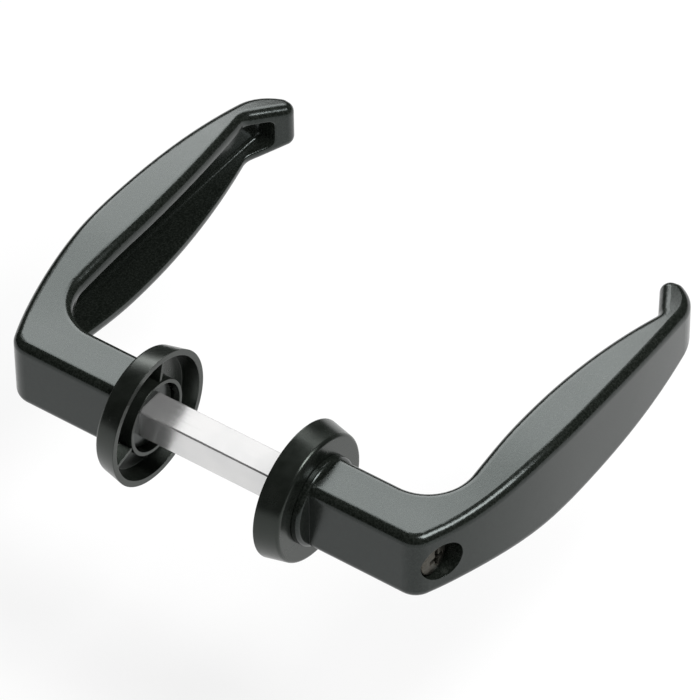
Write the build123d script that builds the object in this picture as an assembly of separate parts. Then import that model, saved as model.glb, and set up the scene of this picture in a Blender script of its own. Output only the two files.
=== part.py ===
from build123d import *
import os

# A pair of lever handles on one square spindle, each turning in a round rosette that sits
# against the door leaf. The levers are castings with a hollow back and a hooked tip.
# X runs along the levers to their tips, Y along the spindle and Z up. The origin lies on
# the spindle axis, midway between the rosettes. Sizes are in millimetres.

# Spindle
SPINDLE_SIZE = 8.0
SPINDLE_LENGTH = 96.0
SPINDLE_CHAMFER = 0.3
TAPPED_DEPTH = 20.0

# Fixing screw, which draws the front lever onto the spindle
THREAD_DIAMETER = 5.0
SCREW_LENGTH = 20.0
SCREW_HEAD_DIAMETER = 9.5
SCREW_HEAD_HEIGHT = 3.2
SCREW_HEAD_CROWN = 1.0
SCREW_WEB = 6.0
CROSS_LENGTH = 5.0
CROSS_WIDTH = 1.3
CROSS_DEPTH = 2.2
CROSS_TAPER = 12.0

# Rosette
DOOR_GAP = 39.2
ROSETTE_RIM_DIAMETER = 34.4
ROSETTE_FACE_DIAMETER = 31.8
ROSETTE_HEIGHT = 6.0
ROSETTE_EDGE_RADIUS = 0.9
ROSETTE_WALL = 1.5
ROSETTE_PLATE = 2.0
HUB_WALL = 0.9
HUB_SETBACK = 0.4
RIB_COUNT = 3
RIB_ANGLE = 44.0
RIB_THICKNESS = 0.8
RIB_SETBACK = 0.7

# Collar and journal of the lever, which carry the rosette
COLLAR_DIAMETER = 22.2
COLLAR_LENGTH = 1.9
COLLAR_EDGE_RADIUS = 0.9
JOURNAL_DIAMETER = 16.3
SNAP_HEIGHT = 0.25
SNAP_LENGTH = 1.4

# Lever in plan, seen from above
NECK_WIDTH = 13.6
LEVER_RISE = 39.0
LEVER_REACH = 100.9
CREST_X = 46.0
ELBOW_DROP = 10.3
ELBOW_SLOPE = 0.52
ELBOW_RADIUS = 5.5
GRIP_X = 38.0
GRIP_THICKNESS = 12.6
CROOK_RISE = 0.6
CROOK_RADIUS = 11.4
HOOK_LENGTH = 13.5
HOOK_ROOT_DROP = 7.8
HOOK_ROOT_SLOPE = 0.19
HOOK_ROOT_RADIUS = 4.0
HOOK_END_DROP = 10.0
HOOK_END_LENGTH = 5.4
HOOK_END_SETBACK = 0.9
SHOULDER_LENGTH = 10.0
SHOULDER_DROP = 2.5
SHOULDER_SLOPE = 0.13

# Lever in elevation, seen from the door
NECK_HEIGHT = 18.9
FLARE_X = 2.0
BELLY_X = 36.0
BELLY_HEIGHT = 23.7
TIP_HEIGHT = 10.2
TIP_SLOPE = 0.24

# Rounding along the upper and lower edges of the lever, and of the corners they run around
EDGE_RADIUS = 2.4
HOOK_CORNER_EXTRA = 0.2

# Hollow in the back of the lever
POCKET_START = 11.5
POCKET_END_BLOCK = 6.8
POCKET_WALL = 3.2
RIM_LAND = 0.9
TIP_RIM_LAND = 0.5
POCKET_END_RADIUS = 5.0
POCKET_TIP_RADIUS = 2.0
POCKET_FLOOR_RADIUS = 1.0
POCKET_MOUTH_RADIUS = 0.5

# Fits
JOURNAL_CLEARANCE = 0.05
HUB_CLEARANCE = 0.3
SEAT_PLAY = 0.15
SOCKET_CLEARANCE = 0.05
SOCKET_END_GAP = 0.5
THREAD_CLEARANCE = 0.05
SCREW_CLEARANCE = 0.25
COUNTERBORE_CLEARANCE = 0.35

# Distances from the middle of the spindle, outward along Y
RIM_Y = DOOR_GAP / 2
FACE_Y = RIM_Y + ROSETTE_HEIGHT
PLATE_Y = FACE_Y - ROSETTE_PLATE
COLLAR_Y = FACE_Y + SEAT_PLAY
NECK_Y = COLLAR_Y + COLLAR_LENGTH
SNAP_Y = PLATE_Y - SEAT_PLAY
JOURNAL_END_Y = SNAP_Y - SNAP_LENGTH
SPINDLE_END_Y = SPINDLE_LENGTH / 2
SOCKET_END_Y = SPINDLE_END_Y + SOCKET_END_GAP
SCREW_SEAT_Y = SOCKET_END_Y + SCREW_WEB
CREST_Y = NECK_Y + LEVER_RISE
GRIP_Y = CREST_Y - GRIP_THICKNESS

# Rims around the hollow, each with a flat land between its two roundings
POCKET_RIM = EDGE_RADIUS + RIM_LAND + POCKET_MOUTH_RADIUS
POCKET_TIP_RIM = EDGE_RADIUS + TIP_RIM_LAND + POCKET_MOUTH_RADIUS

# How far cutters and blanks run past the solid that they shape
OVERRUN = 2.0


def square_to_spindle(y):
    """Plane across the spindle at a distance from its middle, facing outward."""
    return Plane(origin=(0, y, 0), x_dir=(1, 0, 0), z_dir=(0, 1, 0))


def disc(diameter, start, end):
    """Round bar on the spindle axis."""
    return extrude(square_to_spindle(start) * Circle(diameter / 2), end - start)


def square_bar(size, start, end):
    """Square bar on the spindle axis."""
    return extrude(square_to_spindle(start) * Rectangle(size, size), end - start)


def spun(*points):
    """Solid of revolution about the spindle axis, from points of radius and distance."""
    return revolve(make_face(Polyline(*points, close=True)), Axis.Y)


def rosette():
    """Moulded cup with a drafted wall, a hub around the journal, and ribs."""
    rim = ROSETTE_RIM_DIAMETER / 2
    face = ROSETTE_FACE_DIAMETER / 2
    bore = JOURNAL_DIAMETER / 2 + JOURNAL_CLEARANCE
    well = JOURNAL_DIAMETER / 2 + SNAP_HEIGHT + HUB_CLEARANCE
    hub = well + HUB_WALL
    cup = spun(
        (rim, RIM_Y),
        (face, FACE_Y),
        (bore, FACE_Y),
        (bore, PLATE_Y),
        (well, PLATE_Y),
        (well, RIM_Y + HUB_SETBACK),
        (hub, RIM_Y + HUB_SETBACK),
        (hub, PLATE_Y),
        (face - ROSETTE_WALL, PLATE_Y),
        (rim - ROSETTE_WALL, RIM_Y),
    )
    face_edges = cup.edges().filter_by(GeomType.CIRCLE).group_by(Axis.Y)[-1]
    cup = fillet(face_edges.sort_by(SortBy.RADIUS)[-1], ROSETTE_EDGE_RADIUS)
    between_walls = spun(
        (hub - HUB_WALL / 2, RIM_Y + RIB_SETBACK),
        (hub - HUB_WALL / 2, PLATE_Y),
        (face - ROSETTE_WALL / 2, PLATE_Y),
        (rim - ROSETTE_WALL, RIM_Y + RIB_SETBACK),
    )
    spoke = Rectangle(rim, RIB_THICKNESS, align=(Align.MIN, Align.CENTER))
    spokes = PolarLocations(0, RIB_COUNT, start_angle=RIB_ANGLE) * spoke
    ribs = extrude(square_to_spindle(RIM_Y) * (Sketch() + spokes), ROSETTE_HEIGHT)
    return cup + (between_walls & ribs)


def plan_outer(inset=0.0):
    """Outer face of the lever in plan, moved in by a wall."""
    return Spline(
        (-NECK_WIDTH / 2, CREST_Y - ELBOW_DROP - inset),
        (CREST_X, CREST_Y - inset),
        (LEVER_REACH - SHOULDER_LENGTH, CREST_Y - SHOULDER_DROP - inset),
        tangents=[(1, ELBOW_SLOPE), (1, 0), (1, -SHOULDER_SLOPE)],
    )


def lever_plan():
    """Plan of the lever as a block through Z, with its corners rounded."""
    half = NECK_WIDTH / 2
    outer = plan_outer()
    hook_end = Vector(LEVER_REACH, CREST_Y - HOOK_END_DROP)
    hook_point = hook_end - Vector(HOOK_END_SETBACK, HOOK_END_LENGTH)
    hook_root = Vector(LEVER_REACH - HOOK_LENGTH, CREST_Y - HOOK_ROOT_DROP)
    crook = Vector(half, GRIP_Y + CROOK_RISE)
    grip = Spline(
        hook_root,
        (GRIP_X, GRIP_Y),
        crook,
        tangents=[(-1, -HOOK_ROOT_SLOPE), (-1, 0), (-1, 0)],
    )
    outline = [
        Line((-half, NECK_Y), outer @ 0),
        outer,
        TangentArc(outer @ 1, hook_end, tangent=outer % 1),
        Line(hook_end, hook_point),
        Line(hook_point, hook_root),
        grip,
        Line(crook, (half, NECK_Y)),
        Line((half, NECK_Y), (-half, NECK_Y)),
    ]
    block = extrude(Pos(Z=-BELLY_HEIGHT) * make_face(outline), 2 * BELLY_HEIGHT)
    hook_corner = EDGE_RADIUS + HOOK_CORNER_EXTRA
    corners = (
        (outer @ 0, ELBOW_RADIUS),
        (crook, CROOK_RADIUS),
        (hook_root, HOOK_ROOT_RADIUS),
        (hook_end, hook_corner),
        (hook_point, hook_corner),
    )
    for point, radius in corners:
        upright = block.edges().filter_by(Axis.Z).sort_by_distance(point)[0]
        block = fillet(upright, radius)
    return block


def lever_elevation(inset=0.0, tip_inset=0.0):
    """Outline of the lever seen from the door, moved in by a rim, as a block through Y."""
    start = (-NECK_WIDTH, NECK_HEIGHT / 2 - inset)
    flare = (FLARE_X, NECK_HEIGHT / 2 - inset)
    tip = (LEVER_REACH + OVERRUN, TIP_HEIGHT / 2 - tip_inset)
    leaf = Spline(
        flare,
        (BELLY_X, BELLY_HEIGHT / 2 - inset),
        tip,
        tangents=[(1, 0), (1, 0), (1, -TIP_SLOPE)],
    )
    top = [Line(start, flare), leaf]
    bottom = [mirror(edge, about=Plane.XZ) for edge in top]
    ends = [Line((x, z), (x, -z)) for x, z in (start, tip)]
    return extrude(Plane.XZ * make_face(top + bottom + ends), CREST_Y + OVERRUN, dir=(0, 1, 0))


def edges_over(solid, x, y):
    """Upper and lower edges of the lever nearest to a point of its plan."""
    heights = (BELLY_HEIGHT / 2, -BELLY_HEIGHT / 2)
    return [solid.edges().sort_by_distance((x, y, z))[0] for z in heights]


def lever_blank():
    """Solid lever where its plan and its elevation meet, with rounded edges."""
    blank = lever_plan() & lever_elevation()
    return fillet(edges_over(blank, CREST_X, CREST_Y), EDGE_RADIUS)


def lever_pocket():
    """Hollow cast into the back of the lever, which thins with the lever to its tip."""
    end = LEVER_REACH - POCKET_END_BLOCK
    floor = plan_outer(POCKET_WALL)
    curl_end = (LEVER_REACH - POCKET_WALL, CREST_Y - HOOK_END_DROP)
    curl = TangentArc(floor @ 1, curl_end, tangent=floor % 1)
    outline = [
        floor,
        curl,
        Line(curl @ 1, ((curl @ 1).X, NECK_Y)),
        Line(((curl @ 1).X, NECK_Y), ((floor @ 0).X, NECK_Y)),
        Line(((floor @ 0).X, NECK_Y), floor @ 0),
    ]
    plan = extrude(Pos(Z=-BELLY_HEIGHT) * make_face(outline), 2 * BELLY_HEIGHT)
    span = Pos(X=POCKET_START) * Box(
        end - POCKET_START,
        2 * CREST_Y,
        2 * BELLY_HEIGHT,
        align=(Align.MIN, Align.CENTER, Align.CENTER),
    )
    pocket = plan & lever_elevation(POCKET_RIM, POCKET_TIP_RIM) & span
    for place, radius in ((0, POCKET_END_RADIUS), (-1, POCKET_TIP_RADIUS)):
        edges = pocket.faces().filter_by(Axis.X).sort_by(Axis.X)[place].edges().sort_by(Axis.Z)
        pocket = fillet([edges[0], edges[-1]], radius)
    return fillet(edges_over(pocket, CREST_X, CREST_Y)[0], POCKET_FLOOR_RADIUS)


def hollow_lever():
    """Lever with its hollow cut and the mouth of the hollow rounded."""
    shell = lever_blank() - lever_pocket()
    mouth = shell.edges().sort_by_distance((GRIP_X, GRIP_Y, BELLY_HEIGHT / 2 - POCKET_RIM))
    return fillet(mouth[0], POCKET_MOUTH_RADIUS)


def lever():
    """Lever casting: hollow grip, neck, round collar and the journal for the rosette."""
    collar = disc(COLLAR_DIAMETER, COLLAR_Y, NECK_Y)
    collar = fillet(collar.edges().sort_by(Axis.Y)[-1], COLLAR_EDGE_RADIUS)
    journal = disc(JOURNAL_DIAMETER, JOURNAL_END_Y, COLLAR_Y)
    snap = JOURNAL_DIAMETER / 2 + SNAP_HEIGHT
    bead = spun(
        (0, SNAP_Y),
        (snap, SNAP_Y),
        (snap, SNAP_Y - SNAP_LENGTH / 2),
        (JOURNAL_DIAMETER / 2 - SNAP_HEIGHT, JOURNAL_END_Y),
        (0, JOURNAL_END_Y),
    )
    return hollow_lever() + collar + journal + bead


def rear_lever():
    """Lever that the spindle is pressed into."""
    return lever() - square_bar(SPINDLE_SIZE, JOURNAL_END_Y, SPINDLE_END_Y)


def front_lever():
    """Lever that slides onto the spindle and is held by the screw through its elbow."""
    socket = square_bar(SPINDLE_SIZE + 2 * SOCKET_CLEARANCE, JOURNAL_END_Y, SOCKET_END_Y)
    hole = disc(THREAD_DIAMETER + 2 * SCREW_CLEARANCE, SOCKET_END_Y, SCREW_SEAT_Y)
    counterbore = disc(SCREW_HEAD_DIAMETER + 2 * COUNTERBORE_CLEARANCE, SCREW_SEAT_Y, CREST_Y)
    return mirror(lever() - socket - hole - counterbore, about=Plane.XZ)


def spindle():
    """Square bar with a tapped hole in its front end."""
    bar = square_bar(SPINDLE_SIZE, -SPINDLE_END_Y, SPINDLE_END_Y)
    bar = chamfer(bar.edges().filter_by(Axis.Y), SPINDLE_CHAMFER)
    return bar - disc(THREAD_DIAMETER, -SPINDLE_END_Y, TAPPED_DEPTH - SPINDLE_END_Y)


def fixing_screw():
    """Pan head screw with a cross recess, seated in the front lever's counterbore."""
    radius = SCREW_HEAD_DIAMETER / 2
    shank = THREAD_DIAMETER / 2 - THREAD_CLEARANCE
    top = SCREW_SEAT_Y + SCREW_HEAD_HEIGHT
    wall = top - SCREW_HEAD_CROWN
    profile = [
        Line((0, SCREW_SEAT_Y - SCREW_LENGTH), (shank, SCREW_SEAT_Y - SCREW_LENGTH)),
        Line((shank, SCREW_SEAT_Y - SCREW_LENGTH), (shank, SCREW_SEAT_Y)),
        Line((shank, SCREW_SEAT_Y), (radius, SCREW_SEAT_Y)),
        Line((radius, SCREW_SEAT_Y), (radius, wall)),
        EllipticalCenterArc((0, wall), radius, SCREW_HEAD_CROWN, start_angle=0, arc_size=90),
        Line((0, top), (0, SCREW_SEAT_Y - SCREW_LENGTH)),
    ]
    screw = revolve(make_face(profile), Axis.Y)
    slot = Rectangle(CROSS_LENGTH, CROSS_WIDTH)
    cross = square_to_spindle(top) * (slot + slot.rotate(Axis.Z, 90))
    recess = extrude(cross, -CROSS_DEPTH, taper=CROSS_TAPER)
    return mirror(screw - recess, about=Plane.XZ)


nodes = {
    "front_lever": front_lever(),
    "rear_lever": rear_lever(),
    "front_rosette": mirror(rosette(), about=Plane.XZ),
    "rear_rosette": rosette(),
    "spindle": spindle(),
    "fixing_screw": fixing_screw(),
}
os.makedirs("parts", exist_ok=True)
for name, solid in nodes.items():
    export_step(solid, f"parts/{name}.step")
    print(name, round(solid.volume), "mm3")
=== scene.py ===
# %% [markdown]
# A lever handle set
#
# The object is a pair of black lever handles on one bright square spindle, each with a round
# rosette that sits against the door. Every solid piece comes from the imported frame, in metres,
# with X along the levers, Y along the spindle and Z up. The shapes could be modelled again here,
# but then they would drift from the measured solids. So this lesson leaves the solids where they
# are, gives each one its finish, and sets up the floor, the lamps and the camera.

# %% Load the frame
import math

import bpy
from mathutils import Euler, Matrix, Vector


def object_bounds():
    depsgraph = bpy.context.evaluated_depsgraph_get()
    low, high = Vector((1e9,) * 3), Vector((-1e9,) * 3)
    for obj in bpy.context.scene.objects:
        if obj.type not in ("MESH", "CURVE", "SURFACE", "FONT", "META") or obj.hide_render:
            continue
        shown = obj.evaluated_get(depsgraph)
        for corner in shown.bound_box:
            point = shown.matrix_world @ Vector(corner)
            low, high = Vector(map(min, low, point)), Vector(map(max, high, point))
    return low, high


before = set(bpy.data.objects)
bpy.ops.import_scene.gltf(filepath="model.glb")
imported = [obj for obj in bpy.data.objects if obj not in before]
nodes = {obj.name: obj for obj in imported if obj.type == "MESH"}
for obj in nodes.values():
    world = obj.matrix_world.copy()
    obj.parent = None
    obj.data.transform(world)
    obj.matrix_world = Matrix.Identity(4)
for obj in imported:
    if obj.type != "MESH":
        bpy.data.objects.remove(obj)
cad_low, cad_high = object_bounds()
scene = bpy.context.scene
scene.view_settings.view_transform = "Standard"
print("pieces:", sorted(nodes))
print("size in mm:", [round(1000 * side, 1) for side in cad_high - cad_low])

# %% [markdown]
# Smooth faces, crisp edges
#
# The solids arrive as fine triangles. A real casting has smooth faces that meet at a few crisp
# edges, such as the rim of the screw hole. Splitting the mesh at those edges would also work, but
# it adds vertices. Shading every face smooth and then marking the edges that turn more than a
# chosen angle gives the same look and leaves the vertices as they are.

# %% Shade the pieces
CRISP_EDGE = math.radians(28)
for piece in nodes.values():
    piece.data.shade_smooth()
    piece.data.set_sharp_from_angle(angle=CRISP_EDGE)
print("smoothed", len(nodes), "pieces")

# %% [markdown]
# Powder coat: the plain gloss
#
# The levers are aluminium castings in a satin black powder coat. A Principled shader could carry
# the gloss in its coat layer, but here one specular layer is closer, because the highlights on the
# real finish are broad and soft. They are a little weak and have a faint cool cast. What is the
# same all over goes straight onto the shader's sockets, where an export can find it.


# %% Start the powder coat
def start_finish(name, **sockets):
    """Material with one Principled shader, its sockets set by name, and object coordinates."""
    finish = bpy.data.materials.new(name)
    finish.use_nodes = True
    shader = finish.node_tree.nodes["Principled BSDF"]
    for socket, value in sockets.items():
        shader.inputs[socket.replace("_", " ")].default_value = value
    finish.node_tree.nodes.new("ShaderNodeTexCoord")
    return finish


POWDER_GLOSS = 0.4
POWDER_SHEEN = (0.9, 1.0, 0.98, 1)
powder_coat = start_finish(
    "satin_powder_coat",
    Specular_IOR_Level=POWDER_GLOSS,
    Specular_Tint=POWDER_SHEEN,
)
print("started", powder_coat.name)

# %% [markdown]
# Powder coat: grain
#
# The powder melts into a skin of fine grains, about half a millimetre across, and its thickness
# drifts over a centimetre or so. A painted image could hold both, but noise textures need no
# unwrapping and never repeat. The texture space is the object's own, in metres, so a size in
# millimetres sets the scale as 1000 over that size.


# %% Make the grain
def grain(finish, size_mm, detail=2.0, stretch=(1, 1, 1)):
    """Noise with features of about the given size, longer along an axis whose stretch is small."""
    tree = finish.node_tree
    mapping = tree.nodes.new("ShaderNodeMapping")
    mapping.inputs["Scale"].default_value = stretch
    noise = tree.nodes.new("ShaderNodeTexNoise")
    noise.inputs["Scale"].default_value = 1000 / size_mm
    noise.inputs["Detail"].default_value = detail
    place = tree.nodes["Texture Coordinate"].outputs["Object"]
    tree.links.new(place, mapping.inputs["Vector"])
    tree.links.new(mapping.outputs["Vector"], noise.inputs["Vector"])
    return noise.outputs["Fac"]


GRAIN_MM = 0.5
DRIFT_MM = 12.0
powder_grain = grain(powder_coat, GRAIN_MM, detail=3.0)
powder_drift = grain(powder_coat, DRIFT_MM, detail=3.0)
print("grain sizes", GRAIN_MM, "and", DRIFT_MM, "mm")

# %% [markdown]
# Powder coat: colour and sheen
#
# The coat is a very dark grey with a touch of green. One flat black would look like plain plastic,
# so a colour ramp turns the higher part of the grain into slightly lighter flecks. A second ramp
# turns the drift into a small change of roughness, so a wide reflection is never quite even.


# %% Colour the powder coat
def tone(finish, value, low, high, part=(0.3, 0.7)):
    """Spreads a part of a noise from low to high, which are colours or plain numbers."""
    ramp = finish.node_tree.nodes.new("ShaderNodeValToRGB")
    for stop, place, shade in zip(ramp.color_ramp.elements, part, (low, high)):
        stop.position = place
        stop.color = (*shade, 1) if isinstance(shade, tuple) else (shade, shade, shade, 1)
    finish.node_tree.links.new(value, ramp.inputs["Fac"])
    return ramp.outputs["Color"]


def feed(finish, output, socket):
    """Links an output to a socket of the finish's shader."""
    tree = finish.node_tree
    tree.links.new(output, tree.nodes["Principled BSDF"].inputs[socket])


POWDER_DARK = (0.0065, 0.0082, 0.0065)
POWDER_LIGHT = (0.0185, 0.0215, 0.0185)
FLECKS = (0.4, 0.72)
flecked = tone(powder_coat, powder_grain, POWDER_DARK, POWDER_LIGHT, FLECKS)
feed(powder_coat, flecked, "Base Color")
feed(powder_coat, tone(powder_coat, powder_drift, 0.17, 0.22), "Roughness")
print("powder colours", POWDER_DARK, POWDER_LIGHT)

# %% [markdown]
# Powder coat: soft edges and relief
#
# A coat flows over every crisp edge of the casting and rounds it. Bevelling the mesh would change
# the measured shape, so a Bevel node bends the shading there without moving a vertex. The grain
# then adds a low relief on top of the bent shading.


# %% Round and roughen the powder coat
BEVEL_SAMPLES = 6


def relief(finish, height, depth_mm, edge_mm):
    """Rounds the look of crisp edges, then raises the height value by a depth."""
    tree = finish.node_tree
    bevel = tree.nodes.new("ShaderNodeBevel")
    bevel.samples = BEVEL_SAMPLES
    bevel.inputs["Radius"].default_value = edge_mm / 1000
    bump = tree.nodes.new("ShaderNodeBump")
    bump.inputs["Distance"].default_value = depth_mm / 1000
    tree.links.new(bevel.outputs["Normal"], bump.inputs["Normal"])
    tree.links.new(height, bump.inputs["Height"])
    feed(finish, bump.outputs["Normal"], "Normal")
    print(finish.name, "relief", depth_mm, "mm, edges", edge_mm, "mm")


relief(powder_coat, powder_grain, depth_mm=0.012, edge_mm=0.15)

# %% [markdown]
# Moulded nylon on the rosettes
#
# The rosettes are moulded in black nylon. Their skin copies a polished mould, so it has hardly any
# relief, only a faint mottle where the plastic cooled at different speeds. The powder coat could be
# used again, but its flecks would show. The same helpers make a smoother and softer black instead.

# %% Make the nylon
NYLON_GLOSS = 0.47
NYLON_SHEEN = (0.9, 1.0, 0.92, 1)
NYLON_DARK = (0.0065, 0.008, 0.0065)
NYLON_LIGHT = (0.0125, 0.0147, 0.0125)
nylon = start_finish("black_nylon", Specular_IOR_Level=NYLON_GLOSS, Specular_Tint=NYLON_SHEEN)
mottle = grain(nylon, 4.0, detail=4.0)
skin = grain(nylon, 0.4)
feed(nylon, tone(nylon, mottle, NYLON_DARK, NYLON_LIGHT), "Base Color")
feed(nylon, tone(nylon, mottle, 0.22, 0.28), "Roughness")
relief(nylon, skin, depth_mm=0.006, edge_mm=0.25)

# %% [markdown]
# Plated steel on the spindle
#
# The spindle is a drawn bar with bright plating. A fully metallic shader shows nothing but what it
# mirrors, and the plating is a little milky, so a quarter of the finish stays plain white. Drawing
# leaves faint lines along the bar. They could be modelled, but they are finer than a hair, so a
# noise that is stretched along Y stands for them. It changes the roughness more than the height.

# %% Make the bright plating
PLATING = 0.75
BRIGHT_LOW = (0.73, 0.73, 0.73)
BRIGHT_HIGH = (0.8, 0.795, 0.79)
bright_plating = start_finish("bright_plating", Metallic=PLATING)
drawn_lines = grain(bright_plating, 0.4, stretch=(1, 0.02, 1))
plating_patches = grain(bright_plating, 7.0, detail=4.0)
feed(bright_plating, tone(bright_plating, plating_patches, BRIGHT_LOW, BRIGHT_HIGH), "Base Color")
feed(bright_plating, tone(bright_plating, drawn_lines, 0.18, 0.26), "Roughness")
relief(bright_plating, drawn_lines, depth_mm=0.0003, edge_mm=0.2)

# %% [markdown]
# Dull plating on the screw
# The screw is plated too, but its head is small and pressed, sits deep in its hole, and looks much
# greyer and rougher. The bright plating would make it a spark in the dark, so it gets a rougher
# metal of its own, painted far darker than plating for the shade that falls in its hole. A fine
# noise without a direction is enough for it.

# %% Make the dull plating, painted dark for the shade in the hole
# Painted shade: these base colours are far darker than plating and stand for the shade in the screw
# hole.
DULL_AND_SHADED_LOW = (0.06, 0.057, 0.048)
DULL_AND_SHADED_HIGH = (0.12, 0.114, 0.098)
dull_and_shaded_plating = start_finish("dull_and_shaded_plating", Metallic=1.0)
pressed = grain(dull_and_shaded_plating, 0.5, detail=3.0)
feed(dull_and_shaded_plating, tone(dull_and_shaded_plating, pressed, DULL_AND_SHADED_LOW, DULL_AND_SHADED_HIGH), "Base Color")
feed(dull_and_shaded_plating, tone(dull_and_shaded_plating, pressed, 0.38, 0.5), "Roughness")
relief(dull_and_shaded_plating, pressed, depth_mm=0.01, edge_mm=0.15)

# %% [markdown]
# Put the finishes on
#
# Each piece of the real set has one finish all over, so it takes one material, and no face needs
# one of its own. The frame's record has a named slot for each finish, which lets another scene
# repaint a piece.

# %% Dress the pieces
DRESS = (
    ("lever_coat", powder_coat, ("front_lever", "rear_lever")),
    ("rosette_plastic", nylon, ("front_rosette", "rear_rosette")),
    ("spindle_steel", bright_plating, ("spindle",)),
    ("screw_steel", dull_and_shaded_plating, ("fixing_screw",)),
)
for slot, finish, names in DRESS:
    for name in names:
        nodes[name].data.materials.clear()
        nodes[name].data.materials.append(finish)
        print(name, "wears", finish.name)

# %% [markdown]
# The floor: a pale sheet
#
# The set is pictured on white with its shadow hardly seen, so the floor is a wide pale sheet some
# way below it. Stronger lamps could make the sheet white, but they would burn out the spindle.
# It is painted a plain pale grey here, and the next step lights it.

# %% Lay the floor
FLOOR_WIDTH = 6
FLOOR_DROP = 0.06
FLOOR_PAINT = (0.88, 0.88, 0.88, 1)
bpy.ops.mesh.primitive_plane_add(size=FLOOR_WIDTH, location=(0, 0, cad_low.z - FLOOR_DROP))
floor = bpy.context.object
floor.name = "floor"
floor_sheet = start_finish(
    "floor_sheet",
    Base_Color=FLOOR_PAINT,
    Roughness=0.9,
    Specular_IOR_Level=0.1,
)
floor.data.materials.append(floor_sheet)
print("floor at z =", round(floor.location.z, 3))

# %% [markdown]
# The floor: white where it is seen
#
# A Light Path node tells which rays look at the sheet or mirror it. For those the sheet is mostly
# lit from within, which keeps it white, and the small share that isn't keeps the shadow of the set.
# To the light that bounces about, it is still only a painted sheet.


# %% Light the floor
def seen_or_mirrored(tree):
    """1 for camera, glossy and transmitted rays, and 0 for the light that falls on things."""
    path = tree.nodes.new("ShaderNodeLightPath")
    total = path.outputs["Is Camera Ray"]
    for ray in ("Is Glossy Ray", "Is Transmission Ray"):
        most = tree.nodes.new("ShaderNodeMath")
        most.operation = "MAXIMUM"
        tree.links.new(total, most.inputs[0])
        tree.links.new(path.outputs[ray], most.inputs[1])
        total = most.outputs["Value"]
    return total


FLOOR_GLOW = 0.75
tree = floor_sheet.node_tree
glow = tree.nodes.new("ShaderNodeEmission")
share = tree.nodes.new("ShaderNodeMapRange")
share.inputs["To Max"].default_value = FLOOR_GLOW
mix = tree.nodes.new("ShaderNodeMixShader")
tree.links.new(seen_or_mirrored(tree), share.inputs["Value"])
tree.links.new(share.outputs["Result"], mix.inputs["Fac"])
tree.links.new(tree.nodes["Principled BSDF"].outputs["BSDF"], mix.inputs[1])
tree.links.new(glow.outputs["Emission"], mix.inputs[2])
tree.links.new(mix.outputs["Shader"], tree.nodes["Material Output"].inputs["Surface"])
print("floor glow", FLOOR_GLOW)

# %% [markdown]
# The world
#
# A studio's walls fill in soft light from all round. They could be modelled, but the world does it
# alone. It is white where it is seen or mirrored, and dimmer as a light, so that the lamps still
# shape the set.

# %% Set the world
FILL = 0.25
world = bpy.data.worlds.new("studio")
scene.world = world
world.use_nodes = True
tree = world.node_tree
level = tree.nodes.new("ShaderNodeMapRange")
level.inputs["To Min"].default_value = FILL
tree.links.new(seen_or_mirrored(tree), level.inputs["Value"])
tree.links.new(level.outputs["Result"], tree.nodes["Background"].inputs["Strength"])
tree.nodes["Background"].inputs["Color"].default_value = (1, 1, 1, 1)
print("world fill", FILL)

# %% [markdown]
# A black tent
#
# Glossy black shows what stands around it. On the photographed levers the rounded edges mirror
# something dark, and only the flat tops and one streak mirror a lamp. A darker world would dim the
# whole set, so a black dome that only mirror rays can see stands round it instead. The white floor
# below still shows in the front faces.


# %% Pitch the tent
def only_mirrored(thing, cloth):
    """Gives a thing its cloth and hides it from every ray but the mirrored ones."""
    thing.data.materials.append(cloth)
    thing.visible_camera = False
    thing.visible_diffuse = False
    thing.visible_transmission = False
    thing.visible_shadow = False


MIDDLE = Vector((0.03, 0.0, 0.0))
TENT_RADIUS = 1.25
TENT_PAINT = (0.01, 0.01, 0.01, 1)
bpy.ops.mesh.primitive_uv_sphere_add(
    segments=48,
    ring_count=24,
    radius=TENT_RADIUS,
    location=MIDDLE,
)
tent = bpy.context.object
tent.name = "black_tent"
black_cloth = start_finish(
    "black_cloth",
    Base_Color=TENT_PAINT,
    Roughness=1.0,
    Specular_IOR_Level=0.0,
)
only_mirrored(tent, black_cloth)
print("tent radius", TENT_RADIUS, "m")

# %% [markdown]
# Two lamps
#
# The flat tops of the levers mirror one soft lamp, which stands behind and above. Another one hangs
# above the near side. It lights the front and makes the streak along the outer edge of the near
# elbow. One large lamp overhead would also light the set, but its tops would stay black.


# %% Hang the lamps
def soft_lamp(name, direction, distance, width, height, watts):
    """Wide lamp that shines at the middle of the set from a direction."""
    area = bpy.data.lights.new(name, "AREA")
    area.shape = "RECTANGLE"
    area.size = width
    area.size_y = height
    area.energy = watts
    lamp = bpy.data.objects.new(name, area)
    toward = Vector(direction).normalized()
    lamp.location = MIDDLE + distance * toward
    lamp.rotation_euler = toward.to_track_quat("Z", "Y").to_euler()
    scene.collection.objects.link(lamp)
    print(name, "at", [round(part, 2) for part in lamp.location])
    return lamp


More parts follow.
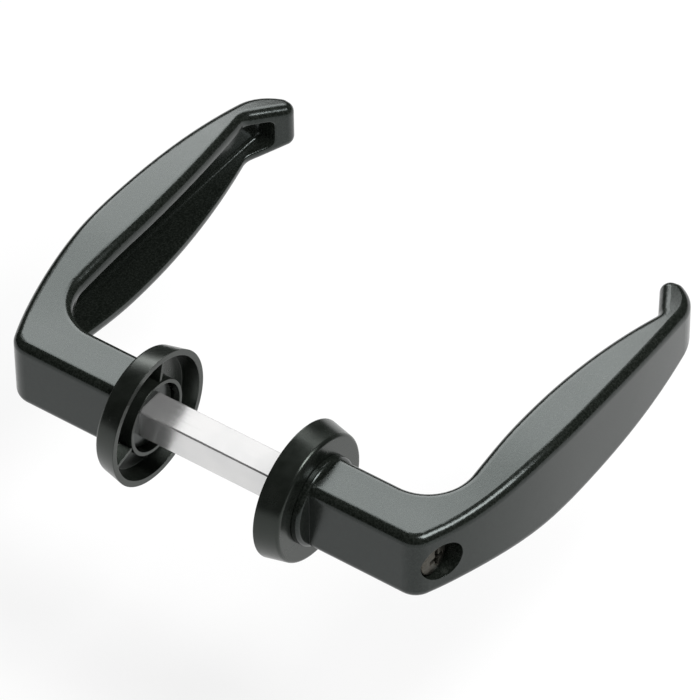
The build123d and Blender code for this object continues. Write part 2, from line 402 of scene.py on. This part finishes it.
BEHIND = (0.583, 0.46, 0.67)
ABOVE_NEAR_SIDE = (0.08, -0.5, 0.862)
back_lamp = soft_lamp("back_lamp", BEHIND, distance=0.95, width=0.58, height=0.66, watts=5.2)
soft_lamp("near_lamp", ABOVE_NEAR_SIDE, distance=0.9, width=0.36, height=0.42, watts=7.5)

# %% [markdown]
# A white sheet for the spindle
#
# The black coat mirrors only about a twentieth of a lamp, but bright metal mirrors most of it, and
# the spindle would burn out. A dimmer lamp would leave the levers too dark. So light linking keeps
# the back lamp off the spindle alone, and a white sheet that hangs behind that lamp is what the top
# of the spindle mirrors instead.

# %% Hang the sheet
SHEET_GLOW = 1.25
SHEET_SIZE = 1.0
SHEET_DISTANCE = 1.15
spared = bpy.data.collections.new("back_lamp_receivers")
spared.objects.link(nodes["spindle"])
back_lamp.light_linking.receiver_collection = spared
spared.collection_objects[0].light_linking.link_state = "EXCLUDE"
bpy.ops.mesh.primitive_plane_add(
    size=SHEET_SIZE,
    location=MIDDLE + SHEET_DISTANCE * Vector(BEHIND).normalized(),
    rotation=back_lamp.rotation_euler,
)
white_sheet = bpy.context.object
white_sheet.name = "white_sheet"
white_cloth = start_finish(
    "white_sheet_cloth",
    Base_Color=(0, 0, 0, 1),
    Specular_IOR_Level=0.0,
    Emission_Color=(1, 1, 1, 1),
    Emission_Strength=SHEET_GLOW,
)
only_mirrored(white_sheet, white_cloth)
print("sheet at", [round(part, 2) for part in white_sheet.location])

# %% [markdown]
# The camera
#
# The levers in the photograph look almost parallel, so it was taken from far away with a long lens.
# A camera could be placed by eye, but here both levers were fitted together as mirror images of
# each other, which gives one place, one turn and one lens.

# %% Place the camera
LENS_MM = 308.57
SENSOR_MM = 36.0
CAMERA_PLACE = (-0.76235, -0.58776, 0.95944)
CAMERA_TURN = (46.0496, 0.5291, -54.5457)
FARTHEST_SEEN = 20
lens = bpy.data.cameras.new("camera")
lens.lens = LENS_MM
lens.sensor_width = SENSOR_MM
lens.clip_end = FARTHEST_SEEN
camera = bpy.data.objects.new("camera", lens)
camera.location = CAMERA_PLACE
camera.rotation_euler = Euler([math.radians(turn) for turn in CAMERA_TURN])
scene.collection.objects.link(camera)
scene.camera = camera
print("camera", round((camera.location - MIDDLE).length, 3), "m from the set")
